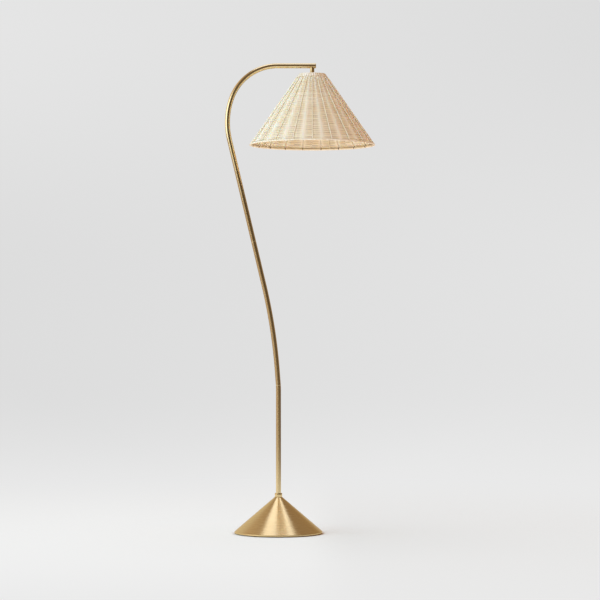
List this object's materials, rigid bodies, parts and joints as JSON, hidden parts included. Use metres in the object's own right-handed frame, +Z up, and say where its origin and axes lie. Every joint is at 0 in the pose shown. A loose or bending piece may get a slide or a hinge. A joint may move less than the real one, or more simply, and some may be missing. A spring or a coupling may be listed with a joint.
{
  "type": "floor lamp",
  "caption": "Floor lamp with a bent round pole on a cone base, and a woven cone shade that hangs from its level arm.",
  "frame": {"origin": "middle of the foot pad's underside, on the floor, on the axis of the base and the lower pole", "axes": "+Z up, +X along the arm from the pole towards the shade, +Y to the back, where the lead leaves the base"},
  "size_m": [0.488, 0.41, 1.5235],
  "materials": {
    "satin_brass": "brushed, lacquered",
    "plain_steel": "zinc plated",
    "cast_iron": "painted",
    "grey_felt": "felt",
    "black_plastic": "moulded",
    "white_porcelain": "glazed",
    "rattan_core": "woven, unvarnished",
    "rattan_peel": "wrapped, satin",
    "cream_wire": "powder coat",
    "frosted_glass": "frosted inside",
    "plain_aluminium": "rolled"
  },
  "bodies": {
    "stand": {"base_cone": "satin_brass", "base_weight": "cast_iron", "bottom_plate": "plain_steel", "plate_screw_1": "plain_steel", "plate_screw_2": "plain_steel", "plate_screw_3": "plain_steel", "foot_pad": "grey_felt", "base_collar": "satin_brass", "base_nipple": "plain_steel", "base_washer": "plain_steel", "base_nut": "plain_steel", "cord_bushing": "black_plastic", "lower_pole": "satin_brass", "middle_pole": "satin_brass", "upper_pole": "satin_brass", "foot_insert": "plain_steel", "lower_joint_socket": "plain_steel", "lower_joint_stud": "plain_steel", "upper_joint_socket": "plain_steel", "upper_joint_stud": "plain_steel", "arm_end_cap": "satin_brass", "inner_lead": "black_plastic", "drop_sleeve": "satin_brass", "drop_nipple": "plain_steel", "cup_nut": "plain_steel", "holder_cup": "satin_brass", "holder_skirt": "black_plastic", "terminal_block": "white_porcelain", "screw_lining": "plain_aluminium", "centre_contact": "satin_brass"},
    "shade": {"woven_cover": "rattan_core", "top_binding": "rattan_peel", "bottom_binding": "rattan_peel", "shade_top_ring": "cream_wire", "shade_bottom_ring": "cream_wire", "shade_spider": "cream_wire", "shade_rib_1": "cream_wire", "shade_rib_2": "cream_wire", "shade_rib_3": "cream_wire", "shade_rib_4": "cream_wire", "shade_rib_5": "cream_wire"},
    "ring_nut": {"shade_ring_nut": "black_plastic"},
    "switch": {"switch_stem": "satin_brass", "switch_knob": "black_plastic"},
    "bulb": {"bulb_glass": "frosted_glass", "bulb_screw_cap": "plain_aluminium", "bulb_insulator": "black_plastic", "bulb_tip": "plain_aluminium"}
  },
  "joints": [
    {"name": "shade_turn", "type": "hinge", "parent": "stand", "child": "shade", "pos_m": [0.10936, 0, 1.4464], "axis": [0, 0, 1], "range_deg": [-45, 45]},
    {"name": "ring_nut_turn", "type": "hinge", "parent": "stand", "child": "ring_nut", "pos_m": [0.10936, 0, 1.4413], "axis": [0, 0, -1], "range_deg": [0, 720]},
    {"name": "switch_turn", "type": "hinge", "parent": "stand", "child": "switch", "pos_m": [0.13936, 0, 1.46649], "axis": [1, 0, 0], "continuous": true},
    {"name": "bulb_out", "type": "slide", "parent": "stand", "child": "bulb", "axis": [0, 0, -1], "range_m": [0, 0.205]}
  ]
}
